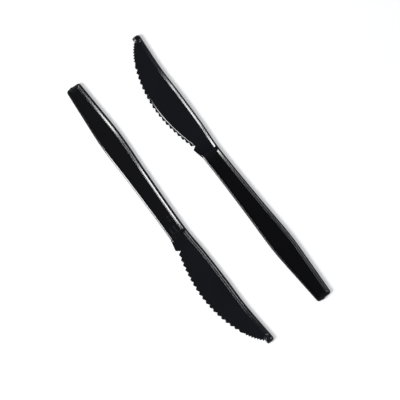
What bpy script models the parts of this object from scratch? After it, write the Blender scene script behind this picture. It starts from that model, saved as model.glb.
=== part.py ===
"""Pack of two one-piece plastic table knives, lying head to tail on a table.

Each knife is one thin moulding. A raised border runs round the handle, along the
back of the blade and round the blunt tip, on both faces, and a curved bolster
bar crosses it where the handle ends. Between them the web is thin: the handle
panel, and the blade with its two sizes of teeth.

A knife is modelled with its butt at the origin, +X towards the tip, +Y towards
the back of the blade and its show face down on Z = 0. One lies that way, and
the other is the same moulding turned over.
"""

import math

import bmesh
import bpy
import numpy as np
from mathutils import Matrix, Vector

MM = 0.001

# Overall sizes of one knife
LENGTH = 190.0 * MM
HEIGHT = 3.4 * MM            # border, from the show face to the hollow face
SHOW_RECESS = 0.95 * MM      # how far the web lies below the border on the show face
HOLLOW_RECESS = 1.05 * MM    # and on the hollow face

# Handle: half widths from the butt, through the palm swell, to the neck
BUTT_HALF_WIDTH = 4.75 * MM
LOW_GRIP_FROM_BUTT = 20.4 * MM
LOW_GRIP_HALF_WIDTH = 6.0 * MM
SWELL_FROM_BUTT = 37.0 * MM
SWELL_HALF_WIDTH = 6.9 * MM
HIGH_GRIP_FROM_BUTT = 66.0 * MM
HIGH_GRIP_HALF_WIDTH = 6.22 * MM
NECK_FROM_BUTT = 95.0 * MM
NECK_HALF_WIDTH = 5.65 * MM
BUTT_CORNER_RADIUS = 1.8 * MM

# Raised border: its width in plan, split into slope, flat land, rounding and draft
BORDER_WIDTH = 2.15 * MM
BORDER_SLOPE = 1.15 * MM     # plan width of the slope down to the web
RIM_ROUNDING = 0.3 * MM      # chamfer at the outer edge of the land
DRAFT = 0.3 * MM             # plan width of the drafted outer side
POCKET_CORNER_RADIUS = 0.8 * MM

# Bolster bar across the knife
BOLSTER_FROM_BUTT = 107.7 * MM
BOLSTER_WIDTH = 3.0 * MM     # at its two ends, at the foot of its slopes
BOLSTER_SLOPE = 0.6 * MM
BOLSTER_BOW = 1.1 * MM       # how far its blade side bows towards the butt

# Back of the blade, as heights above the handle's centre line
SPINE_RISE_FROM_BUTT = 125.0 * MM
SPINE_RISE = 6.85 * MM
SPINE_CROWN_FROM_BUTT = 147.0 * MM
SPINE_CROWN = 7.6 * MM
SPINE_HOLLOW_FROM_BUTT = 163.0 * MM
SPINE_HOLLOW = 7.8 * MM
TIP_HEIGHT = 9.85 * MM
TIP_SHOULDER_RADIUS = 2.0 * MM
TIP_FOOT = 4.9 * MM          # lower corner of the blunt tip, above the centre line
TIP_FOOT_RADIUS = 0.9 * MM
TIP_CAP = 3.3 * MM           # length of the full-height cap that closes the tip
RELIEF_CORNER_RADIUS = 1.0 * MM

# Cutting edge, as depths below the handle's centre line
HEEL_FROM_BUTT = 114.8 * MM
HEEL_DEPTH = 7.1 * MM
LAST_TOOTH_FROM_BUTT = 117.8 * MM
LAST_TOOTH_DEPTH = 7.0 * MM
BELLY_FROM_BUTT = 143.8 * MM
BELLY_DEPTH = 10.85 * MM
EDGE_END_FROM_TIP = 2.6 * MM
EDGE_END_RISE = 4.4 * MM
NOTCH_FROM_BUTT = 116.4 * MM
NOTCH_DEPTH = 2.4 * MM       # of the V between the last tooth and the heel

# Sweep of the cutting edge: how far each end of its two curves pulls, and drops,
# as shares of that curve's reach
EDGE_END_PULL = 0.18
EDGE_END_DROP = 0.2
BELLY_PULL_TO_TIP = 0.41
BELLY_PULL_TO_HEEL = 0.33
LAST_TOOTH_PULL = 0.24
LAST_TOOTH_DROP = 0.07

# Teeth, counted from the tip
SMALL_PITCH = 1.75 * MM
SMALL_DEPTH = 0.8 * MM
SMALL_COUNT = 7
LARGE_PITCH = 3.2 * MM
LARGE_DEPTH = 1.15 * MM
TOOTH_LEAN = 0.12            # share of a pitch by which each root leans to the tip

# Thinner band that carries the large teeth, on the show face only
BAND_STEP = 0.35 * MM
BAND_WIDTH = 0.45 * MM       # from the tooth roots to the foot of the step
BAND_SLOPE = 0.3 * MM
BAND_RUN_OUT = 14.0 * MM     # length over which the step fades towards the tip

# Marks of the mould: gate stub, ejector pin mark and two short ribs
GATE_RADIUS = 1.1 * MM
GATE_STANDOUT = 0.4 * MM
GATE_OFFSET = 1.1 * MM
GATE_THICKNESS = 1.0 * MM
PIN_MARK_RADIUS = 1.5 * MM
PIN_MARK_RING = 0.35 * MM
PIN_MARK_DEPTH = 0.2 * MM
PIN_MARK_FROM_BOLSTER = 10.8 * MM
PIN_MARK_OFFSET = 0.6 * MM
SHORT_RIB_LENGTH = 5.2 * MM
SHORT_RIB_WIDTH = 0.5 * MM
SHORT_RIB_HEIGHT = 0.3 * MM
SHORT_RIB_OFFSETS = (0.6 * MM, -2.0 * MM)

# How the two knives lie
AXIS_SPACING = 43.9 * MM     # between the two handles' centre lines at the butts
BUTT_SPAN = 188.3 * MM       # from one butt to the other along the pack
YAW = math.radians(1.11)     # each knife's turn away from the pack's long axis

CURVE_STEPS = 200
SPINE_STEPS = 30
HANDLE_STEPS = 16
CORNER_STEPS = 5
BOW_STEPS = 8
OVERCUT = 1.0 * MM           # how far a cutter reaches past what it cuts
SKIM = 0.05 * MM             # how far outside the web a fading cut starts

PLASTIC_COLOUR = (0.0060, 0.0062, 0.0068, 1.0)
PLASTIC_ROUGHNESS = 0.12

WEB_LOW = SHOW_RECESS
WEB_HIGH = HEIGHT - HOLLOW_RECESS


def clear_scene():
    """Remove what the file holds, so that the pack stands alone."""
    for old in list(bpy.data.objects):
        bpy.data.objects.remove(old, do_unlink=True)


def make_collection(name):
    """Add a collection to the scene."""
    collection = bpy.data.collections.new(name)
    bpy.context.scene.collection.children.link(collection)
    return collection


def through(stations, x):
    """Height at x of a smooth curve through (x, height) stations."""
    xs = np.array([station[0] for station in stations])
    ys = np.array([station[1] for station in stations])
    slopes = np.gradient(ys, xs)
    i = int(np.clip(np.searchsorted(xs, x) - 1, 0, len(xs) - 2))
    span = xs[i + 1] - xs[i]
    t = (x - xs[i]) / span
    start = (2 * t**3 - 3 * t**2 + 1) * ys[i] + (t**3 - 2 * t**2 + t) * span * slopes[i]
    end = (3 * t**2 - 2 * t**3) * ys[i + 1] + (t**3 - t**2) * span * slopes[i + 1]
    return float(start + end)


def handle_stations():
    """Half width of the handle from the butt to the bolster."""
    return [
        (0.0, BUTT_HALF_WIDTH),
        (LOW_GRIP_FROM_BUTT, LOW_GRIP_HALF_WIDTH),
        (SWELL_FROM_BUTT, SWELL_HALF_WIDTH),
        (HIGH_GRIP_FROM_BUTT, HIGH_GRIP_HALF_WIDTH),
        (NECK_FROM_BUTT, NECK_HALF_WIDTH),
        (BOLSTER_FROM_BUTT, NECK_HALF_WIDTH),
    ]


def spine_height(x):
    """Height of the knife's back at x."""
    stations = handle_stations()
    stations += [
        (SPINE_RISE_FROM_BUTT, SPINE_RISE),
        (SPINE_CROWN_FROM_BUTT, SPINE_CROWN),
        (SPINE_HOLLOW_FROM_BUTT, SPINE_HOLLOW),
        (LENGTH - TIP_SHOULDER_RADIUS, TIP_HEIGHT),
    ]
    return through(stations, x)


def belly_height(x):
    """Height of the knife's lower outline at x, from the butt to the heel."""
    if x < BOLSTER_FROM_BUTT:
        return -through(handle_stations(), x)
    run = (x - BOLSTER_FROM_BUTT) / (HEEL_FROM_BUTT - BOLSTER_FROM_BUTT)
    return -NECK_HALF_WIDTH - run * (HEEL_DEPTH - NECK_HALF_WIDTH)


def arc(centre, radius, start, end):
    """Points on an arc from one angle to another, in degrees."""
    angles = np.radians(np.linspace(start, end, CORNER_STEPS))
    return [(centre[0] + radius * math.cos(a), centre[1] + radius * math.sin(a)) for a in angles]


def bezier(points, t):
    """Point at t on a cubic curve."""
    p0, p1, p2, p3 = (np.array(p) for p in points)
    s = 1 - t
    return s**3 * p0 + 3 * s**2 * t * p1 + 3 * s * t**2 * p2 + t**3 * p3


def edge_curve():
    """Closely spaced points along the tips of the teeth, from the tip to the last tooth."""
    end = (LENGTH - EDGE_END_FROM_TIP, EDGE_END_RISE)
    belly = (BELLY_FROM_BUTT, -BELLY_DEPTH)
    last = (LAST_TOOTH_FROM_BUTT, -LAST_TOOTH_DEPTH)
    front_reach = end[0] - belly[0]
    rear_reach = belly[0] - last[0]
    front = [
        end,
        (end[0] - EDGE_END_PULL * front_reach, end[1] - EDGE_END_DROP * front_reach),
        (belly[0] + BELLY_PULL_TO_TIP * front_reach, belly[1]),
        belly,
    ]
    rear = [
        belly,
        (belly[0] - BELLY_PULL_TO_HEEL * rear_reach, belly[1]),
        (last[0] + LAST_TOOTH_PULL * rear_reach, last[1] - LAST_TOOTH_DROP * rear_reach),
        last,
    ]
    steps = np.linspace(0, 1, CURVE_STEPS)
    return np.array([bezier(front, t) for t in steps] + [bezier(rear, t) for t in steps[1:]])


def walk(curve, distances, depth):
    """Points at given distances along a curve, each set in from it by depth."""
    legs = np.hypot(*np.diff(curve, axis=0).T)
    along = np.concatenate([[0.0], np.cumsum(legs)])
    points = []
    for distance in distances:
        x = np.interp(distance, along, curve[:, 0])
        y = np.interp(distance, along, curve[:, 1])
        step = legs.mean()
        ahead = np.array([np.interp(distance + step, along, curve[:, i]) for i in (0, 1)])
        behind = np.array([np.interp(distance - step, along, curve[:, i]) for i in (0, 1)])
        run = (ahead - behind) / np.hypot(*(ahead - behind))
        points.append((x + run[1] * depth, y - run[0] * depth))
    return points


def tooth_plan():
    """Distances of the tooth tips along the edge, and the distance where the large ones start."""
    curve = edge_curve()
    total = np.hypot(*np.diff(curve, axis=0).T).sum()
    small = [SMALL_PITCH * (i + 0.5) for i in range(SMALL_COUNT)]
    start = SMALL_PITCH * SMALL_COUNT
    count = max(1, round((total - start) / LARGE_PITCH))
    pitch = (total - start) / count
    large = [start + pitch * (i + 1) for i in range(count)]
    return curve, small, large, pitch


def toothed_edge():
    """Tips and roots of every tooth, from the tip of the knife to the last tooth."""
    curve, small, large, pitch = tooth_plan()
    points = walk(curve, [0.0], SMALL_DEPTH)
    for tip in small:
        points += walk(curve, [tip], 0.0)
        points += walk(curve, [tip + SMALL_PITCH * (0.5 - TOOTH_LEAN)], SMALL_DEPTH)
    for tip in large:
        points += walk(curve, [tip], 0.0)
        if tip != large[-1]:
            points += walk(curve, [tip + pitch * (0.5 - TOOTH_LEAN)], LARGE_DEPTH)
    return points


def frame_outline():
    """Outline of the border, bolster and tip cap, anticlockwise from the butt."""
    r = BUTT_CORNER_RADIUS
    lower = [(x, belly_height(x)) for x in np.linspace(2 * r, BOLSTER_FROM_BUTT, HANDLE_STEPS)]
    lower.append((BOLSTER_FROM_BUTT + BOLSTER_WIDTH, belly_height(BOLSTER_FROM_BUTT + BOLSTER_WIDTH)))
    foot = arc((LENGTH - TIP_FOOT_RADIUS, TIP_FOOT + TIP_FOOT_RADIUS), TIP_FOOT_RADIUS, -100, 0)
    top = arc((LENGTH - TIP_SHOULDER_RADIUS, TIP_HEIGHT - TIP_SHOULDER_RADIUS), TIP_SHOULDER_RADIUS, 0, 84)
    spine = [(x, spine_height(x)) for x in np.linspace(LENGTH - 2 * TIP_SHOULDER_RADIUS, 2 * r, SPINE_STEPS)]
    corner_y = through(handle_stations(), r) - r
    butt_top = arc((r, corner_y), r, 92, 180)
    butt_low = arc((r, -corner_y), r, 180, 268)
    return lower + foot + top + spine + butt_top + butt_low


def blade_outline():
    """Outline of the toothed blade, which laps into the frame, anticlockwise."""
    start = BOLSTER_FROM_BUTT + BOLSTER_WIDTH
    valley = (NOTCH_FROM_BUTT, -LAST_TOOTH_DEPTH + NOTCH_DEPTH)
    heel = [(start, belly_height(start) + DRAFT), (HEEL_FROM_BUTT, -HEEL_DEPTH), valley]
    teeth = list(reversed(toothed_edge()))
    lap = [
        (LENGTH - TIP_CAP / 2, TIP_FOOT + BORDER_WIDTH),
        (SPINE_HOLLOW_FROM_BUTT, SPINE_HOLLOW - BORDER_WIDTH),
    ]
    return heel + teeth + lap + [(start, NECK_HALF_WIDTH - BORDER_WIDTH)]


def inset(loop, distance):
    """A closed anticlockwise outline moved inwards by a distance."""
    points = np.array(loop)
    before = points - np.roll(points, 1, axis=0)
    after = np.roll(points, -1, axis=0) - points
    before /= np.hypot(*before.T)[:, None]
    after /= np.hypot(*after.T)[:, None]
    normal = np.stack([-(before + after)[:, 1], (before + after)[:, 0]], axis=1)
    normal /= np.hypot(*normal.T)[:, None]
    half_turn = np.clip((before * after).sum(axis=1), -1, 1)
    mitre = np.sqrt((1 + half_turn) / 2)
    return [tuple(p) for p in points + normal * (distance / mitre)[:, None]]


def loft(name, loops, collection):
    """A closed solid through stacked anticlockwise loops of (x, y, z) points, lowest first."""
    bm = bmesh.new()
    rings = [[bm.verts.new(p) for p in loop] for loop in loops]
    for low, high in zip(rings, rings[1:]):
        for i in range(len(low)):
            j = (i + 1) % len(low)
            bm.faces.new((low[i], low[j], high[j], high[i]))
    bm.faces.new(list(reversed(rings[0])))
    bm.faces.new(rings[-1])
    mesh = bpy.data.meshes.new(name)
    bm.to_mesh(mesh)
    bm.free()
    solid = bpy.data.objects.new(name, mesh)
    collection.objects.link(solid)
    return solid


def at(loop, z):
    """A flat outline set at a height."""
    return [(x, y, z) for x, y in loop]


def frame_blank(collection):
    """The full-height body whose pockets leave the border, bolster and tip cap."""
    outline = frame_outline()
    land = inset(outline, DRAFT + RIM_ROUNDING)
    shoulder = inset(outline, DRAFT)
    loops = [
        at(land, 0.0),
        at(shoulder, RIM_ROUNDING),
        at(outline, HEIGHT / 2),
        at(shoulder, HEIGHT - RIM_ROUNDING),
        at(land, HEIGHT),
    ]
    return loft("frame_blank", loops, collection)


def bolster_face(side, grow):
    """Line along one face of the bolster, from the back of the knife to its belly."""
    x = BOLSTER_FROM_BUTT + side * (BOLSTER_WIDTH / 2 - grow * BOLSTER_SLOPE)
    bow = BOLSTER_BOW if side > 0 else 0.0
    line = []
    for t in np.linspace(1, -1, BOW_STEPS):
        line.append((x - bow * (1 - t * t), t * NECK_HALF_WIDTH))
    return line


def handle_pocket_loop(grow):
    """Outline of the handle's panel; grow 0 is its floor and 1 its mouth at the rim."""
    wall = BORDER_WIDTH - grow * BORDER_SLOPE
    r = POCKET_CORNER_RADIUS
    end = bolster_face(-1, grow)
    reach = min(p[0] for p in end)
    half = [through(handle_stations(), x) - wall for x in (wall + r, reach)]
    corner_low = arc((wall + r, -half[0] + r), r, 180, 270)
    corner_top = arc((wall + r, half[0] - r), r, 90, 180)
    stations = np.linspace(wall + 2 * r, reach, HANDLE_STEPS)
    low = [(x, -through(handle_stations(), x) + wall) for x in stations]
    top = [(x, -y) for x, y in reversed(low)]
    bow = [(x, y * half[1] / NECK_HALF_WIDTH) for x, y in reversed(end)]
    return corner_low + low + bow[1:-1] + top + corner_top


def blade_relief_loop(grow):
    """Outline of the blade's relief, open past the teeth; grow works as on the handle."""
    wall = BORDER_WIDTH - grow * BORDER_SLOPE
    root = bolster_face(1, grow)
    tip_x = LENGTH - TIP_CAP + grow * BOLSTER_SLOPE
    first = root[0][0]
    clear = -BELLY_DEPTH - OVERCUT
    r = RELIEF_CORNER_RADIUS
    spine = [(x, spine_height(x) - wall) for x in np.linspace(first, tip_x - r, SPINE_STEPS)]
    corner = arc((tip_x - r, spine[-1][1] - r), r, 90, 0)[1:]
    bow = [(x, y * spine[0][1] / NECK_HALF_WIDTH) for x, y in reversed(root)]
    below = [(bow[0][0], clear)]
    far = [(LENGTH + OVERCUT, TIP_FOOT - OVERCUT / 2), (LENGTH + OVERCUT, clear)]
    step = [(tip_x, TIP_FOOT - OVERCUT / 2)]
    loop = below + bow[:-1] + spine + corner + step + far
    return list(reversed(loop))


def recess_cutter(name, loop_at, floor, rim, collection):
    """A drafted cutter whose mouth lies past the rim and whose flat end is the web's face."""
    past = 1 + OVERCUT / abs(rim - floor)
    mouth = at(loop_at(past), floor + (rim - floor) * past)
    bottom = at(loop_at(0.0), floor)
    loops = [bottom, mouth] if rim > floor else [mouth, bottom]
    return loft(name, loops, collection)


def band_cutter(collection):
    """Cutter for the thinner band of large teeth on the show face, fading out to the tip."""
    curve, small, large, pitch = tooth_plan()
    start = large[0] + BAND_RUN_OUT
    stations = np.linspace(start, large[-1], SPINE_STEPS)
    deep = LARGE_DEPTH + BAND_WIDTH
    outer = walk(curve, stations, -2 * OVERCUT)
    outer[-1] = (outer[-1][0] - OVERCUT, outer[-1][1])
    foot = walk(curve, stations, deep)
    brow = walk(curve, stations, deep + BAND_SLOPE)
    fade = [min(1.0, (s - start) / BAND_RUN_OUT) for s in stations]
    floor = [WEB_LOW - SKIM + (BAND_STEP + SKIM) * f for f in fade]
    top = [(x, y, z) for (x, y), z in zip(foot, floor)]
    top += [(x, y, z) for (x, y), z in reversed(list(zip(outer, floor)))]
    low = at(brow, WEB_LOW - BAND_STEP)
    low += at(list(reversed(outer)), WEB_LOW - BAND_STEP)
    return loft("band_cutter", [low, top], collection)


def cylinder(name, radius, low, high, x, y, collection):
    """An upright cylinder between two heights."""
    bm = bmesh.new()
    place = Matrix.Translation(Vector((x, y, (low + high) / 2)))
    bmesh.ops.create_cone(
        bm, cap_ends=True, segments=28, radius1=radius, radius2=radius, depth=high - low, matrix=place
    )
    mesh = bpy.data.meshes.new(name)
    bm.to_mesh(mesh)
    bm.free()
    solid = bpy.data.objects.new(name, mesh)
    collection.objects.link(solid)
    return solid


def short_rib(name, offset, collection):
    """A short rib that runs from the bolster along the hollow side of the handle."""
    length = SHORT_RIB_LENGTH
    x = BOLSTER_FROM_BUTT - BOLSTER_WIDTH / 2 - length / 2
    bm = bmesh.new()
    size = Matrix.Diagonal((length, SHORT_RIB_WIDTH, 2 * SHORT_RIB_HEIGHT, 1.0))
    bmesh.ops.create_cube(bm, size=1.0, matrix=Matrix.Translation((x, offset, WEB_HIGH)) @ size)
    mesh = bpy.data.meshes.new(name)
    bm.to_mesh(mesh)
    bm.free()
    rib = bpy.data.objects.new(name, mesh)
    collection.objects.link(rib)
    return rib


def combine(body, tool, operation):
    """Join or cut the body with a tool, which stays as a hidden guide."""
    boolean = body.modifiers.new(tool.name, "BOOLEAN")
    boolean.operation = operation
    boolean.object = tool
    boolean.solver = "EXACT"
    tool.hide_render = True
    tool.display_type = "WIRE"


def mould_material():
    """Glossy black moulded plastic."""
    material = bpy.data.materials.new("black_plastic")
    material.use_nodes = True
    shader = material.node_tree.nodes["Principled BSDF"]
    shader.inputs["Base Color"].default_value = PLASTIC_COLOUR
    shader.inputs["Roughness"].default_value = PLASTIC_ROUGHNESS
    shader.inputs["Metallic"].default_value = 0.0
    return material


def mould_knife(parts, cutters):
    """One knife, with its butt at the origin and its show face down."""
    knife = frame_blank(parts)
    blade_low = WEB_LOW - SHOW_RECESS / 2
    blade_high = WEB_HIGH + HOLLOW_RECESS / 2
    blade = loft("blade_blank", [at(blade_outline(), blade_low), at(blade_outline(), blade_high)], cutters)
    combine(knife, blade, "UNION")
    for name, loop_at in (("panel", handle_pocket_loop), ("blade", blade_relief_loop)):
        show = recess_cutter(name + "_show_cutter", loop_at, WEB_LOW, 0.0, cutters)
        combine(knife, show, "DIFFERENCE")
        hollow = recess_cutter(name + "_hollow_cutter", loop_at, WEB_HIGH, HEIGHT, cutters)
        combine(knife, hollow, "DIFFERENCE")
    combine(knife, band_cutter(cutters), "DIFFERENCE")

    gate_low = (HEIGHT - GATE_THICKNESS) / 2
    gate_x = GATE_RADIUS - GATE_STANDOUT
    gate = cylinder(
        "gate_stub", GATE_RADIUS, gate_low, gate_low + GATE_THICKNESS, gate_x, -GATE_OFFSET, cutters
    )
    combine(knife, gate, "UNION")

    mark_x = BOLSTER_FROM_BUTT - PIN_MARK_FROM_BOLSTER
    mark_floor = WEB_HIGH - PIN_MARK_DEPTH
    ring = cylinder(
        "pin_mark_cutter", PIN_MARK_RADIUS, mark_floor, HEIGHT, mark_x, PIN_MARK_OFFSET, cutters
    )
    core = cylinder(
        "pin_mark_core", PIN_MARK_RADIUS - PIN_MARK_RING, 0.0, WEB_HIGH, mark_x, PIN_MARK_OFFSET, cutters
    )
    combine(ring, core, "DIFFERENCE")
    combine(knife, ring, "DIFFERENCE")
    for i, offset in enumerate(SHORT_RIB_OFFSETS):
        combine(knife, short_rib("short_rib_%d" % (i + 1), offset, cutters), "UNION")
    return knife


def settle(knife):
    """Turn the modelled knife into a plain mesh at the origin."""
    depsgraph = bpy.context.evaluated_depsgraph_get()
    mesh = bpy.data.meshes.new_from_object(knife.evaluated_get(depsgraph))
    bm = bmesh.new()
    bm.from_mesh(mesh)
    bmesh.ops.remove_doubles(bm, verts=bm.verts, dist=0.00001)
    bmesh.ops.dissolve_degenerate(bm, edges=bm.edges, dist=0.00001)
    bmesh.ops.triangulate(bm, faces=bm.faces)
    bm.to_mesh(mesh)
    bm.free()
    mesh.name = "knife"
    mesh.materials.clear()
    mesh.materials.append(mould_material())
    bpy.data.objects.remove(knife, do_unlink=True)
    return mesh


def lay_out(mesh, parts):
    """Lay one knife with its hollow face up and the same moulding turned over beside it."""
    half_span = BUTT_SPAN / 2
    drop = LENGTH / 2 * math.sin(YAW)
    turn = Matrix.Rotation(-YAW, 4, "Z")
    hollow_up = bpy.data.objects.new("knife_hollow_face_up", mesh)
    hollow_up.matrix_world = Matrix.Translation((-half_span, drop - AXIS_SPACING / 2, 0.0)) @ turn
    flip = Matrix.Rotation(math.pi, 4, "Y")
    show_up = bpy.data.objects.new("knife_show_face_up", mesh)
    show_up.matrix_world = Matrix.Translation((half_span, drop + AXIS_SPACING / 2, HEIGHT)) @ flip @ turn
    for knife in (hollow_up, show_up):
        parts.objects.link(knife)
    return [hollow_up, show_up]


def centre_pack(knives):
    """Move the pack so that its box is centred over the origin."""
    corners = []
    for knife in knives:
        corners += [knife.matrix_world @ v.co for v in knife.data.vertices]
    middle_x = (min(c.x for c in corners) + max(c.x for c in corners)) / 2
    middle_y = (min(c.y for c in corners) + max(c.y for c in corners)) / 2
    for knife in knives:
        knife.matrix_world = Matrix.Translation((-middle_x, -middle_y, 0.0)) @ knife.matrix_world


def build():
    """Model the pack."""
    clear_scene()
    parts = make_collection("plastic_cutlery_pack")
    cutters = make_collection("cutters")
    knife = mould_knife(parts, cutters)
    knives = lay_out(settle(knife), parts)
    centre_pack(knives)


build()
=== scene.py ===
"""Two black one-piece plastic table knives, head to tail on a white table."""

import math

import bmesh
import bpy
import numpy as np
from mathutils import Matrix, Vector


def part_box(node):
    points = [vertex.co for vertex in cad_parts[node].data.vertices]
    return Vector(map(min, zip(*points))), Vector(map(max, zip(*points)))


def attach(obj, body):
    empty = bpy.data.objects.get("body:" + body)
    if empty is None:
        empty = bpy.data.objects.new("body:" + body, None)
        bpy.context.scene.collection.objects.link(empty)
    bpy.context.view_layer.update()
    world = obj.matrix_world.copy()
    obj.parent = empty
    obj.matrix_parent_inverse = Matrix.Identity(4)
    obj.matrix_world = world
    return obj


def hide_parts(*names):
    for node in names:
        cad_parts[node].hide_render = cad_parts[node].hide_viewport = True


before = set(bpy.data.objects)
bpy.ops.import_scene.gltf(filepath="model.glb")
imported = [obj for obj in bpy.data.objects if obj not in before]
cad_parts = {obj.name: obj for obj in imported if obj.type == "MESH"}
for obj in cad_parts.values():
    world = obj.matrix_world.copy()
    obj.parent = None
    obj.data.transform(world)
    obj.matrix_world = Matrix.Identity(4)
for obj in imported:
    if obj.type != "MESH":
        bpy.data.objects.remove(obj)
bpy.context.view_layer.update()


# The knife moulding.
# The real knife is one shot of black polystyrene, a thin web with a raised border on both
# faces, filled from a gate at the butt and pushed out of the mould by pins under the handle.
# Its mesh is a fine grid laid across the knife, from its back to its edge, and both faces
# take their height from how far a point lies from the outline, bolster, tip and teeth.

MM = 0.001

LENGTH = 190.0 * MM
HEIGHT = 3.4 * MM
SHOW_WEB = 0.95 * MM                # web's two faces, above the show side's rim
HOLLOW_WEB = 2.35 * MM
PARTING = HEIGHT / 2

HANDLE = [                          # distance from the butt, half width
    (0.0, 4.75 * MM),
    (20.4 * MM, 6.0 * MM),
    (37.0 * MM, 6.9 * MM),
    (66.0 * MM, 6.22 * MM),
    (95.0 * MM, 5.65 * MM),
    (107.7 * MM, 5.65 * MM),
]
BACK = [                            # distance from the butt, height of the blade's back
    (125.0 * MM, 6.85 * MM),
    (147.0 * MM, 7.6 * MM),
    (163.0 * MM, 7.8 * MM),
    (188.0 * MM, 9.843 * MM),
]
BUTT_RADIUS = 1.8 * MM
TIP_RADIUS = 2.0 * MM
TIP_FOOT = 4.9 * MM                 # height of the blunt tip's lower corner, and its radius
TIP_FOOT_RADIUS = 0.9 * MM
TIP_PAD = (187.9 * MM, 7.6 * MM)    # round pad at the tip, with a dimple in its hollow face
SHOW_PAD_RADIUS = 1.3 * MM
HOLLOW_PAD_RADIUS = 2.0 * MM
TIP_DIMPLE_RADIUS = 1.25 * MM
TIP_DIMPLE_DEPTH = 0.45 * MM

DRAFT = 0.28 * MM                   # how far the border's outer side leans in, in plan
BROW_RISE = 0.8                     # bevelled brow's height as a share of its width
BROW_ROUNDING = 1.3                 # 1 is a flat bevel, and more eases it into the land
SHOW_BORDER = (0.50 * MM, 0.95 * MM, 2.20 * MM)     # brow's width, end of land, foot of slope
HOLLOW_BORDER = (0.62 * MM, 1.20 * MM, 2.60 * MM)
BORDER_FILLETS = (0.3, 0.05)        # shares of the slope, at the land and at the web
PAD_SLOPE = 1.15                    # tip pad's and dimple's slopes in plan, to their depth
BOLSTER = 107.7 * MM
BOLSTER_HALF = 1.5 * MM             # at its ends, while its blade side bows towards the butt
BOLSTER_SLOPE = 0.75 * MM
BOLSTER_BOW = 1.1 * MM

HEEL = (114.8 * MM, -7.1 * MM)
NOTCH = (116.4 * MM, -4.6 * MM)
EDGE_END = (187.4 * MM, 4.4 * MM)   # sweep through the tips of the teeth, in two cubic curves
BELLY = (143.8 * MM, -10.842 * MM)
LAST_TOOTH = (117.8 * MM, -7.0 * MM)
SMALL_PITCH = 1.75 * MM
SMALL_DEPTH = 0.8 * MM
SMALL_COUNT = 7
LARGE_PITCH = 3.2 * MM
LARGE_DEPTH = 1.15 * MM
TOOTH_LEAN = 0.12
BAND_STEP = 0.35 * MM               # teeth are this much thinner on the show face
BAND_WIDTH = 0.3 * MM
BAND_RISER = 0.1 * MM               # steep part of the step, and the easy bevel above it
BAND_BEVEL = 0.4 * MM
BAND_BEVEL_SHARE = 0.42
BAND_RUN_OUT = 14.0 * MM
EDGE_ROUNDING = 0.05 * MM

GATE_STANDOUT = 0.4 * MM
GATE_HALF_WIDTH = 1.1 * MM
GATE_OFFSET = -1.1 * MM
GATE_BLEND = 0.5 * MM               # how far in from the butt the stub's bulge dies away
PIN_MARK = (96.9 * MM, 0.6 * MM)
PIN_MARK_RADIUS = 1.5 * MM
PIN_MARK_RING = 0.35 * MM
PIN_MARK_DEPTH = 0.10 * MM
SHORT_RIBS = (0.6 * MM, -2.0 * MM)
SHORT_RIB_FROM = 101.5 * MM
SHORT_RIB_RUN_IN = 0.5 * MM
SHORT_RIB_CREST = 0.1 * MM          # half widths of its flat top and, past that, of its flank
SHORT_RIB_FLANK = 0.4 * MM
SHORT_RIB_HEIGHT = 0.085 * MM


def through(stations, x):
    """Heights at x of a smooth curve through (x, height) stations."""
    xs = np.array([s[0] for s in stations])
    ys = np.array([s[1] for s in stations])
    slopes = np.gradient(ys, xs)
    i = np.clip(np.searchsorted(xs, x) - 1, 0, len(xs) - 2)
    span = xs[i + 1] - xs[i]
    t = (x - xs[i]) / span
    start = (2 * t**3 - 3 * t**2 + 1) * ys[i] + (t**3 - 2 * t**2 + t) * span * slopes[i]
    end = (3 * t**2 - 2 * t**3) * ys[i + 1] + (t**3 - t**2) * span * slopes[i + 1]
    return start + end


def half_width(x):
    """Half width of the handle, rounded off at the butt."""
    side = through(HANDLE, np.maximum(x, BUTT_RADIUS))
    short = np.clip(BUTT_RADIUS - x, 0, BUTT_RADIUS)
    return side - BUTT_RADIUS + np.sqrt(BUTT_RADIUS**2 - short**2)


def back_height(x):
    """Height of the knife's back, rounded off at the butt and the tip."""
    body = through(HANDLE + BACK, np.minimum(x, LENGTH - TIP_RADIUS))
    body = np.where(x < BUTT_RADIUS, half_width(x), body)
    past = np.clip(x - LENGTH + TIP_RADIUS, 0, TIP_RADIUS)
    return body - TIP_RADIUS + np.sqrt(TIP_RADIUS**2 - past**2)


def edge_sweep():
    """Close points through the tips of the teeth, from the tip, with their running length."""
    front = EDGE_END[0] - BELLY[0]
    rear = BELLY[0] - LAST_TOOTH[0]
    curves = [
        (
            EDGE_END,
            (EDGE_END[0] - 0.18 * front, EDGE_END[1] - 0.2 * front),
            (BELLY[0] + 0.41 * front, BELLY[1]),
            BELLY,
        ),
        (
            BELLY,
            (BELLY[0] - 0.33 * rear, BELLY[1]),
            (LAST_TOOTH[0] + 0.24 * rear, LAST_TOOTH[1] - 0.07 * rear),
            LAST_TOOTH,
        ),
    ]
    points = []
    for curve in curves:
        p0, p1, p2, p3 = np.array(curve)
        t = np.linspace(0, 1, 100)[:, None]
        u = 1 - t
        points.append(u**3 * p0 + 3 * u**2 * t * p1 + 3 * u * t**2 * p2 + t**3 * p3)
    sweep = np.concatenate([points[0], points[1][1:]])
    legs = np.hypot(*np.diff(sweep, axis=0).T)
    return sweep, np.concatenate([[0.0], np.cumsum(legs)])


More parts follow.
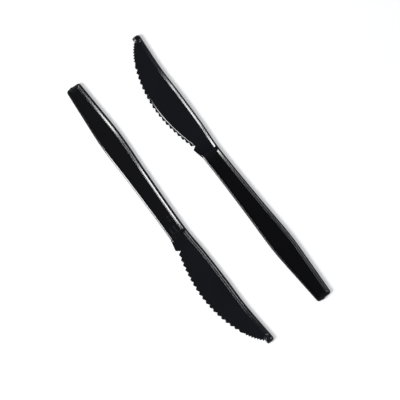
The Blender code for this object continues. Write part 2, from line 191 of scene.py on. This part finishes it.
def toothed_edge():
    """Rows along the teeth: each has its place on the sweep and its place on the real edge."""
    row_step = 0.3 * MM
    look = 0.1 * MM
    sweep, along = edge_sweep()
    small_end = SMALL_PITCH * SMALL_COUNT
    count = round((along[-1] - small_end) / LARGE_PITCH)
    pitch = (along[-1] - small_end) / count
    knots = [(0.0, SMALL_DEPTH)]
    for i in range(SMALL_COUNT):
        tip = SMALL_PITCH * (i + 0.5)
        knots += [(tip, 0.0), (tip + SMALL_PITCH * (0.5 - TOOTH_LEAN), SMALL_DEPTH)]
    for i in range(count):
        tip = small_end + pitch * (i + 1)
        knots.append((tip, 0.0))
        if i < count - 1:
            knots.append((tip + pitch * (0.5 - TOOTH_LEAN), LARGE_DEPTH))
    stations, depths = [], []
    for (a, depth_a), (b, depth_b) in zip(knots, knots[1:]):
        steps = max(3, round((b - a) / row_step))
        for t in np.arange(steps) / steps:
            stations.append(a + t * (b - a))
            depths.append(depth_a + t * (depth_b - depth_a))
    stations.append(knots[-1][0])
    depths.append(knots[-1][1])
    stations = np.array(stations)
    place = np.stack([np.interp(stations, along, sweep[:, i]) for i in (0, 1)], axis=1)
    ahead = np.stack([np.interp(stations + look, along, sweep[:, i]) for i in (0, 1)], axis=1)
    behind = np.stack([np.interp(stations - look, along, sweep[:, i]) for i in (0, 1)], axis=1)
    run = ahead - behind
    run /= np.hypot(*run.T)[:, None]
    inward = np.stack([run[:, 1], -run[:, 0]], axis=1)
    return place, place + inward * np.array(depths)[:, None]


def tip_foot(steps):
    """Points round the blunt tip's lower corner."""
    angles = np.radians(np.linspace(-100, 0, steps + 1))
    round_foot = np.stack([np.cos(angles), np.sin(angles)], axis=1) * TIP_FOOT_RADIUS
    return round_foot + (LENGTH - TIP_FOOT_RADIUS, TIP_FOOT + TIP_FOOT_RADIUS)


def spread(*runs):
    """Numbers from runs of (start, end, step), each end given once."""
    values = []
    for start, end, step in runs:
        values += list(np.linspace(start, end, max(2, round((end - start) / step) + 1))[:-1])
    return np.array(values + [runs[-1][1]])


def outline_rows():
    """Ends of every row of the grid, on the knife's back and on its belly or edge, with how
    far the edge lies in from the tips of the teeth."""
    handle_x = MM * spread(
        (0, 0.8, 0.08), (0.8, 3.2, 0.15), (3.2, 94.6, 0.6), (94.6, 99.2, 0.12),
        (99.2, 105.0, 0.25), (105.0, 110.0, 0.13), (110.0, HEEL[0] / MM, 0.3),
    )
    belly_line = np.array([(BOLSTER, -HANDLE[-1][1]), HEEL])
    low = np.where(handle_x < BOLSTER, -half_width(handle_x), np.interp(handle_x, *belly_line.T))
    back_x = [handle_x]
    belly = [np.stack([handle_x, low], axis=1)]
    gullets = [np.zeros(len(handle_x))]

    place, teeth = toothed_edge()
    place, teeth = place[::-1], teeth[::-1]
    for start, end in ((HEEL, NOTCH), (NOTCH, teeth[0])):
        t = np.linspace(0, 1, 9)[1:]
        t = t if start is HEEL else t[:-1]
        leg = np.outer(1 - t, start) + np.outer(t, end)
        back_x.append(leg[:, 0])
        belly.append(leg)
        gullets.append(np.zeros(len(leg)))
    back_x.append(place[:, 0])
    belly.append(teeth)
    gullets.append(np.hypot(*(place - teeth).T))

    foot = tip_foot(8)
    t = np.linspace(0, 1, 6)[1:-1]
    lead = np.outer(1 - t, teeth[-1]) + np.outer(t, foot[0])
    tip = np.concatenate([lead, foot])
    t = np.arange(1, len(tip) + 1) / len(tip)
    back_x.append(place[-1, 0] + (LENGTH - place[-1, 0]) * t)
    belly.append(tip)
    gullets.append(np.zeros(len(tip)))
    back_x = np.concatenate(back_x)
    back = np.stack([back_x, back_height(back_x)], axis=1)
    return back, np.concatenate(belly), np.concatenate(gullets)


def lay_grid():
    """Plan points of the grid, row by row, with close columns where the forms are fine."""
    back, belly, gullets = outline_rows()
    from_back = MM * spread(
        (0, 0.28, 0.14), (0.28, 0.9, 0.09), (0.9, 1.6, 0.07), (1.6, 2.1, 0.25), (2.1, 2.65, 0.09)
    )
    from_belly = MM * spread(
        (0, 0.28, 0.14), (0.28, 0.9, 0.09), (0.9, 1.4, 0.07), (1.4, 1.6, 0.05), (1.6, 2.1, 0.15),
        (2.1, 2.65, 0.09),
    )[::-1]
    tooth_line = 1.4 * MM
    between = np.linspace(0, 1, 26)[1:-1]
    reach = np.hypot(*(back - belly).T)
    rows = []
    for i, length in enumerate(reach):
        squeeze = min(1.0, 0.46 * length / from_back[-1])
        gullet = gullets[i]
        inside = np.where(
            from_belly < tooth_line, from_belly * (1 - gullet / tooth_line), from_belly - gullet
        )
        near = from_back * squeeze / length
        far = 1 - inside * squeeze / length
        middle = near[-1] + between * (far[0] - near[-1])
        t = np.concatenate([near, middle, far])[:, None]
        rows.append(back[i] * (1 - t) + belly[i] * t)
    grid = np.array(rows)
    bow = np.clip(1 - np.abs(grid[..., 0] - BOLSTER - BOLSTER_HALF) / (2 * BOLSTER_HALF), 0, 1)
    bow = bow * bow * (3 - 2 * bow)
    across = np.clip(np.abs(grid[..., 1]) / HANDLE[-1][1], 0, 1)
    grid[..., 0] -= BOLSTER_BOW * (1 - across**2) * bow
    return grid


def distance(points, line):
    """Distance from each point to an open line."""
    start, leg = line[:-1], np.diff(line, axis=0)
    size = (leg**2).sum(axis=1)
    nearest = []
    for part in np.array_split(points, 60):
        t = ((part[:, None] - start) * leg).sum(axis=2) / size
        foot = start + np.clip(t, 0, 1)[..., None] * leg
        nearest.append(np.sqrt(((part[:, None] - foot) ** 2).sum(axis=2)).min(axis=1))
    return np.concatenate(nearest)


def ramp(t, start=0.08, end=0.08):
    """A straight rise from 0 to 1 with a fillet over a share of it at each end."""
    t = np.clip(t, 0, 1)
    pitch = 1 / (1 - (start + end) / 2)
    low = pitch * t**2 / (2 * start)
    high = 1 - pitch * (1 - t) ** 2 / (2 * end)
    return np.where(t < start, low, np.where(t > 1 - end, high, pitch * (t - start / 2)))


def outer_side(d, brow):
    """Share of the border's half height reached at a distance in from the parting line."""
    drafted = 1 - BROW_RISE * brow / PARTING
    t = np.clip((d - DRAFT) / brow, 0, 1)
    return drafted * np.clip(d / DRAFT, 0, 1) + (1 - drafted) * (1 - (1 - t) ** BROW_ROUNDING)


def knife_heights(plan):
    """Heights of the hollow face and of the show face over plan points."""
    x, y = plan.T
    xs = MM * spread((0, 3, 0.1), (3, 109.2, 1.5))
    belly_side = np.stack([xs, -half_width(xs)], axis=1)
    xs = MM * spread((0, 3, 0.1), (3, 186, 1.5), (186, 190, 0.1))
    back_side = np.stack([xs, back_height(xs)], axis=1)
    butt = np.array([belly_side[0], back_side[0]])
    foot = tip_foot(11)
    tip_line = np.concatenate([foot, back_side[-1:]])
    _, teeth = toothed_edge()
    bolster_end = (BOLSTER + BOLSTER_HALF, -6.0 * MM)
    edge_line = np.concatenate([[bolster_end, HEEL, NOTCH], teeth[::-1], foot[:1]])

    from_back = np.minimum(distance(plan, back_side), distance(plan, butt))
    from_belly = distance(plan, belly_side)
    from_rim = np.minimum(np.minimum(from_back, from_belly), distance(plan, tip_line))
    from_edge = np.full(len(plan), LENGTH)
    from_sweep = np.full(len(plan), LENGTH)
    blade = x > BOLSTER
    sweep, along = edge_sweep()
    from_edge[blade] = distance(plan[blade], edge_line)
    from_sweep[blade] = distance(plan[blade], sweep)

    bow = BOLSTER_BOW * (1 - np.clip(np.abs(y) / HANDLE[-1][1], 0, 1) ** 2)
    from_handle = x - BOLSTER + BOLSTER_HALF
    from_blade = BOLSTER + BOLSTER_HALF - bow - x
    blade_side = ramp(from_blade / BOLSTER_SLOPE)
    bolster = ramp(from_handle / BOLSTER_SLOPE) * blade_side

    from_pad = np.hypot(np.minimum(x - TIP_PAD[0], 0), y - TIP_PAD[1])
    from_dimple = np.hypot(x - TIP_PAD[0], y - TIP_PAD[1])
    dimple = 1 - ramp((from_dimple - TIP_DIMPLE_RADIUS) / (TIP_DIMPLE_DEPTH * PAD_SLOPE) + 1)

    def raised(border, pad_radius):
        """How far up the border, bolster and tip pad stand from the web, from 0 to 1."""
        _, land_end, foot_of_slope = border
        slope = foot_of_slope - land_end
        back_web = ramp((from_back - land_end) / slope, *BORDER_FILLETS)
        belly_web = 1 - (1 - ramp((from_belly - land_end) / slope, *BORDER_FILLETS)) * blade_side
        pad_web = ramp((from_pad - pad_radius) / (SHOW_WEB * PAD_SLOPE))
        return 1 - back_web * belly_web * pad_web * (1 - bolster)

    rim = 1 - np.clip(from_edge / EDGE_ROUNDING, 0, 1)
    edge_drop = EDGE_ROUNDING * (1 - np.sqrt(1 - rim**2))

    band_end = np.interp(SMALL_PITCH * SMALL_COUNT + LARGE_PITCH + BAND_RUN_OUT, along, sweep[:, 0])
    fade = ramp((band_end - x) / BAND_RUN_OUT, 0.4, 0.4) * (x > NOTCH[0])
    past_band = from_sweep - LARGE_DEPTH - BAND_WIDTH
    band = np.interp(past_band, [0, BAND_RISER, BAND_RISER + BAND_BEVEL], [1, BAND_BEVEL_SHARE, 0])

    from_pin = np.hypot(x - PIN_MARK[0], y - PIN_MARK[1])
    from_ring = np.abs(from_pin - PIN_MARK_RADIUS + PIN_MARK_RING / 2)
    ring = 1 - ramp(2 * from_ring / PIN_MARK_RING, 0.3, 0.3)
    rib = np.zeros_like(x)
    rib_length = ramp((x - SHORT_RIB_FROM) / SHORT_RIB_RUN_IN, 0.4, 0.4) * (from_handle < 0)
    for offset in SHORT_RIBS:
        across = 1 - ramp((np.abs(y - offset) - SHORT_RIB_CREST) / SHORT_RIB_FLANK, 0.4, 0.4)
        rib = np.maximum(rib, across * rib_length)

    up = raised(HOLLOW_BORDER, HOLLOW_PAD_RADIUS)
    hollow = HOLLOW_WEB + (HEIGHT - HOLLOW_WEB) * up
    hollow += (1 - up) * (SHORT_RIB_HEIGHT * rib - PIN_MARK_DEPTH * ring) - edge_drop
    hollow -= TIP_DIMPLE_DEPTH * dimple
    down = raised(SHOW_BORDER, SHOW_PAD_RADIUS)
    show = (1 - down) * (SHOW_WEB + BAND_STEP * band * fade) + edge_drop
    hollow = PARTING + (hollow - PARTING) * outer_side(from_rim, HOLLOW_BORDER[0])
    show = PARTING + (show - PARTING) * outer_side(from_rim, SHOW_BORDER[0])
    return hollow, show


MOULD_PLACE = "mould_place"         # each point's place in the mould, for the flow marks


def knife_mesh():
    """The whole moulding: two skins over one grid, walled where the edge has a thickness."""
    grid = lay_grid()
    rows, columns = grid.shape[:2]
    plan = grid.reshape(-1, 2)
    hollow, show = knife_heights(plan)
    gate = np.clip(1 - ((plan[:, 1] - GATE_OFFSET) / GATE_HALF_WIDTH) ** 2, 0, 1) ** 0.5
    plan[:, 0] -= GATE_STANDOUT * gate * np.clip(1 - plan[:, 0] / GATE_BLEND, 0, 1)
    count = len(plan)
    top = np.column_stack([plan, hollow])
    low = np.column_stack([plan, show])

    index = np.arange(count).reshape(rows, columns)
    a, b = index[:-1, :-1].ravel(), index[1:, :-1].ravel()
    c, d = index[1:, 1:].ravel(), index[:-1, 1:].ravel()
    rim = np.concatenate([index[:, 0], index[-1, 1:], index[-2::-1, -1], index[0, -2:0:-1]])
    after = np.roll(rim, -1)
    hollow_skin = np.stack([a, d, c, b], axis=1)
    show_skin = count + np.stack([a, b, c, d], axis=1)
    walls = np.stack([rim, after, after + count, rim + count], axis=1)
    faces = np.concatenate([hollow_skin, show_skin, walls])

    mesh = bpy.data.meshes.new("knife_moulding")
    mesh.from_pydata(np.concatenate([top, low]).tolist(), [], faces.tolist())
    bm = bmesh.new()
    bm.from_mesh(mesh)
    bmesh.ops.remove_doubles(bm, verts=bm.verts, dist=0.002 * MM)
    bmesh.ops.dissolve_degenerate(bm, edges=bm.edges, dist=0.001 * MM)
    bmesh.ops.recalc_face_normals(bm, faces=bm.faces)
    bm.to_mesh(mesh)
    bm.free()
    mesh.shade_smooth()
    mesh.set_sharp_from_angle(angle=math.radians(55))
    place = mesh.attributes.new(MOULD_PLACE, "FLOAT_VECTOR", "POINT")
    place.data.foreach_set("vector", [c for v in mesh.vertices for c in v.co])
    return mesh


def linear(hex_code):
    """A colour written as sRGB hex, turned to linear."""
    parts = [int(hex_code[i:i + 2], 16) / 255 for i in (1, 3, 5)]
    return tuple(c / 12.92 if c <= 0.04045 else ((c + 0.055) / 1.055) ** 2.4 for c in parts) + (1.0,)


def node(tree, kind, settings=None, links=None):
    """Add a node, set its properties and input values, and link its inputs."""
    new = tree.nodes.new(kind)
    for name, value in (settings or {}).items():
        if hasattr(new, name):
            setattr(new, name, value)
        else:
            new.inputs[name].default_value = value
    for name, source in (links or {}).items():
        tree.links.new(source, new.inputs[name])
    return new


FLOW_WIDTH = 3.85 * MM              # a streak of the melt's flow, across and along the knife
FLOW_LENGTH = 32.0 * MM
HAZE_PATCH = 14.3 * MM              # patches of handling haze
SKIN_GRAIN = 0.385 * MM             # drawn about ten times as coarse as the real skin, to show


def black_polystyrene():
    """Black polystyrene, moulded against a polished tool: a hard gloss over near-black, with
    the faint ripple of the melt's flow along the knife and a little handling haze. The steep
    sides carry painted shade: their base colour is darkened to stand in for the shade on steep
    steps and walls. They are also duller, where the mould drags as it opens, and the handle's
    show face is a little duller than the rest."""
    material = bpy.data.materials.new("black_polystyrene_moulded")
    material.use_nodes = True
    tree = material.node_tree
    shader = tree.nodes["Principled BSDF"]
    shader.inputs["IOR"].default_value = 1.59

    place = node(tree, "ShaderNodeAttribute", {"attribute_name": MOULD_PLACE}).outputs["Vector"]
    apart = node(tree, "ShaderNodeSeparateXYZ", {}, {"Vector": place})
    normal = node(tree, "ShaderNodeNewGeometry").outputs["Normal"]
    facing = node(tree, "ShaderNodeSeparateXYZ", {}, {"Vector": normal})
    level = node(tree, "ShaderNodeMath", {"operation": "ABSOLUTE"}, {0: facing.outputs["Z"]})

    stretch = (FLOW_WIDTH / FLOW_LENGTH, 1.0, 1.0)
    streaks = node(tree, "ShaderNodeMapping", {"Scale": stretch}, {"Vector": place}).outputs[0]
    flow = node(
        tree, "ShaderNodeTexNoise", {"Scale": 1 / FLOW_WIDTH, "Detail": 3.0}, {"Vector": streaks}
    )
    haze = node(
        tree, "ShaderNodeTexNoise", {"Scale": 1 / HAZE_PATCH, "Detail": 5.0, "Roughness": 0.6},
        {"Vector": place},
    )
    grain = node(
        tree, "ShaderNodeTexNoise", {"Scale": 1 / SKIN_GRAIN, "Detail": 2.0}, {"Vector": place}
    )

    blade = node(
        tree, "ShaderNodeMapRange", {"From Min": 100 * MM, "From Max": 118 * MM},
        {"Value": apart.outputs["X"]},
    )
    tint = node(tree, "ShaderNodeMix", {"data_type": "RGBA"})
    tint.inputs["A"].default_value = linear("#050405")
    tint.inputs["B"].default_value = linear("#0b0c10")
    tree.links.new(blade.outputs["Result"], tint.inputs["Factor"])
    cloud = node(
        tree, "ShaderNodeMapRange", {"To Min": 0.75, "To Max": 1.25}, {"Value": haze.outputs["Fac"]}
    )
    # Painted shade: on steep faces the base colour is darkened, down to a tenth, standing in for the
    # shade that falls on steep steps and walls.
    steep_painted_shade = node(
        tree, "ShaderNodeMapRange", {"From Min": 0.45, "From Max": 0.68, "To Min": 0.1},
        {"Value": level.outputs[0], "To Max": cloud.outputs["Result"]},
    )
    shade = node(
        tree, "ShaderNodeVectorMath", {"operation": "SCALE"}, {"Scale": steep_painted_shade.outputs["Result"]}
    )
    tree.links.new(tint.outputs["Result"], shade.inputs[0])
    tree.links.new(shade.outputs["Vector"], shader.inputs["Base Color"])

    rough = node(
        tree, "ShaderNodeMapRange", {"To Min": 0.08, "To Max": 0.17}, {"Value": haze.outputs["Fac"]}
    )
    tree.links.new(rough.outputs["Result"], shader.inputs["Roughness"])

    hollow = node(
        tree, "ShaderNodeMapRange", {"From Min": 1.5 * MM, "From Max": 1.9 * MM},
        {"Value": apart.outputs["Z"]},
    )
    bright = node(
        tree, "ShaderNodeMath", {"operation": "MAXIMUM"},
        {0: hollow.outputs["Result"], 1: blade.outputs["Result"]},
    )
    gloss = node(
        tree, "ShaderNodeMapRange", {"To Min": 0.3, "To Max": 0.5}, {"Value": bright.outputs[0]}
    )
    polish = node(
        tree, "ShaderNodeMapRange", {"From Min": 0.25, "From Max": 0.68, "To Min": 0.04},
        {"Value": level.outputs[0], "To Max": gloss.outputs["Result"]},
    )
    tree.links.new(polish.outputs["Result"], shader.inputs["Specular IOR Level"])

    ripple = node(
        tree, "ShaderNodeBump", {"Strength": 0.02, "Distance": 0.05 * MM}, {"Height": flow.outputs["Fac"]}
    )
    skin = node(
        tree, "ShaderNodeBump", {"Strength": 0.03, "Distance": 0.01 * MM},
        {"Height": grain.outputs["Fac"], "Normal": ripple.outputs["Normal"]},
    )
    tree.links.new(skin.outputs["Normal"], shader.inputs["Normal"])
    return material


moulding = knife_mesh()
moulding.materials.append(black_polystyrene())


# The two knives.
# Both are the same moulding. One lies on its show face, so its hollow face looks up, and the
# other is turned over beside it with its butt at the first one's tip. Nothing joins them.

YAW = math.radians(1.11)


def lay_knife(name, cad_node, turned_over):
    """Lay a knife over its solid in the frame, by the middle of that solid's box."""
    turn = Matrix.Rotation(-YAW, 4, "Z")
    if turned_over:
        turn = Matrix.Rotation(math.pi, 4, "Y") @ turn
    mesh = moulding.copy()
    mesh.transform(turn)
    low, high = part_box(cad_node)
    points = np.array([v.co for v in mesh.vertices])
    middle = Vector((points.min(axis=0) + points.max(axis=0)) / 2)
    mesh.transform(Matrix.Translation((Vector(low) + Vector(high)) / 2 - middle))
    knife = bpy.data.objects.new(name, mesh)
    bpy.context.scene.collection.objects.link(knife)
    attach(knife, "root")
    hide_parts(cad_node)


lay_knife("knife_hollow_side_up", "knife_hollow_face_up", False)
lay_knife("knife_show_side_up", "knife_show_face_up", True)


# The table.
# A plain round table top of white laminate, wide enough to fill the picture. It takes the
# knives' soft shadow.

TABLE_RADIUS = 0.42
TABLE_GLOW = 0.37


def white_table():
    """Matt white laminate. The camera and the reflections see a little glow in it, which takes
    it to pure white and lights nothing."""
    material = bpy.data.materials.new("white_laminate_table")
    material.use_nodes = True
    tree = material.node_tree
    shader = tree.nodes["Principled BSDF"]
    shader.inputs["Base Color"].default_value = linear("#f4f4f4")
    shader.inputs["Roughness"].default_value = 0.9
    shader.inputs["Specular IOR Level"].default_value = 0.0
    shader.inputs["Emission Color"].default_value = (1, 1, 1, 1)
    paths = node(tree, "ShaderNodeLightPath")
    seen = paths.outputs["Is Camera Ray"]
    for ray in ("Is Glossy Ray", "Is Transmission Ray"):
        either = node(tree, "ShaderNodeMath", {"operation": "MAXIMUM"}, {0: seen, 1: paths.outputs[ray]})
        seen = either.outputs[0]
    glow = node(tree, "ShaderNodeMath", {"operation": "MULTIPLY"}, {0: seen})
    glow.inputs[1].default_value = TABLE_GLOW
    tree.links.new(glow.outputs[0], shader.inputs["Emission Strength"])
    return material


bpy.ops.mesh.primitive_circle_add(vertices=96, radius=TABLE_RADIUS, fill_type="NGON")
table = bpy.context.object
table.name = "table_top"
table.data.materials.append(white_table())


# The camera and the light.
# The camera looks almost straight down. A low, narrow key lamp beyond the lower left of the
# picture draws the bright strips on the borders, and a high lamp over it casts the short
# shadow. The room above is dark, as the flat black webs show it. Only the camera sees the
# backdrop's white: nothing here is metal or glass, and the webs would lose their black to it.

ROLL = 0.927                            # the pack's long axis runs down to the right
LEAN = (0.058, -0.077)                  # camera's lean towards the right and lower edges
CAMERA_DISTANCE = 0.821
AIM = (0.0049, 0.0018, 0.0)
LENS = 126.0

camera_data = bpy.data.cameras.new("camera")
camera = bpy.data.objects.new("camera", camera_data)
bpy.context.scene.collection.objects.link(camera)
camera_data.sensor_width = 36.0
camera_data.lens = LENS
right = Vector((math.cos(ROLL), math.sin(ROLL), 0))
up = Vector((-math.sin(ROLL), math.cos(ROLL), 0))
back = (Vector((0, 0, 1)) + LEAN[0] * right + LEAN[1] * up).normalized()
right = up.cross(back).normalized()
up = back.cross(right)
camera_turn = Matrix((right, up, back)).transposed().to_4x4()
camera.matrix_world = Matrix.Translation(Vector(AIM) + back * CAMERA_DISTANCE) @ camera_turn
bpy.context.scene.camera = camera


def soft_lamp(name, place, target, size, radiance):
    """A rectangular soft lamp aimed at a point, as bright as it is given in the knives' gloss."""
    data = bpy.data.lights.new(name, "AREA")
    data.shape = "RECTANGLE"
    data.size, data.size_y = size
    data.energy = radiance * math.pi * size[0] * size[1]
    lamp = bpy.data.objects.new(name, data)
    lamp.location = place
    lamp.rotation_euler = (Vector(target) - Vector(place)).to_track_quat("-Z", "Y").to_euler()
    bpy.context.scene.collection.objects.link(lamp)


soft_lamp("key_lamp", (-0.163, -1.0, 0.19), (-0.163, 0, 0.1), (0.118, 0.38), 22.0)
soft_lamp("key_halo", (-0.08, -1.05, 0.2), (-0.08, 0, 0.1), (0.36, 0.4), 0.35)
soft_lamp("high_lamp", (-0.115, -0.75, 1.05), (0, 0, 0), (0.39, 0.5), 18.0)
soft_lamp("butt_lamp", (-0.75, 0.15, 1.0), (0, 0, 0), (0.6, 0.6), 1.1)
soft_lamp("tip_lamp", (0.75, 0.15, 1.0), (0, 0, 0), (0.6, 0.6), 1.1)

world = bpy.data.worlds.new("dark_studio_with_white_backdrop")
world.use_nodes = True
tree = world.node_tree
room = tree.nodes["Background"]
room.inputs["Color"].default_value = linear("#e4ecff")
room.inputs["Strength"].default_value = 0.14
backdrop = node(tree, "ShaderNodeBackground", {"Color": (1, 1, 1, 1), "Strength": 1.0})
paths = node(tree, "ShaderNodeLightPath")
seen = node(tree, "ShaderNodeMixShader")
tree.links.new(paths.outputs["Is Camera Ray"], seen.inputs[0])
tree.links.new(room.outputs[0], seen.inputs[1])
tree.links.new(backdrop.outputs[0], seen.inputs[2])
tree.links.new(seen.outputs[0], tree.nodes["World Output"].inputs["Surface"])
bpy.context.scene.world = world

bpy.context.scene.view_settings.view_transform = "Standard"
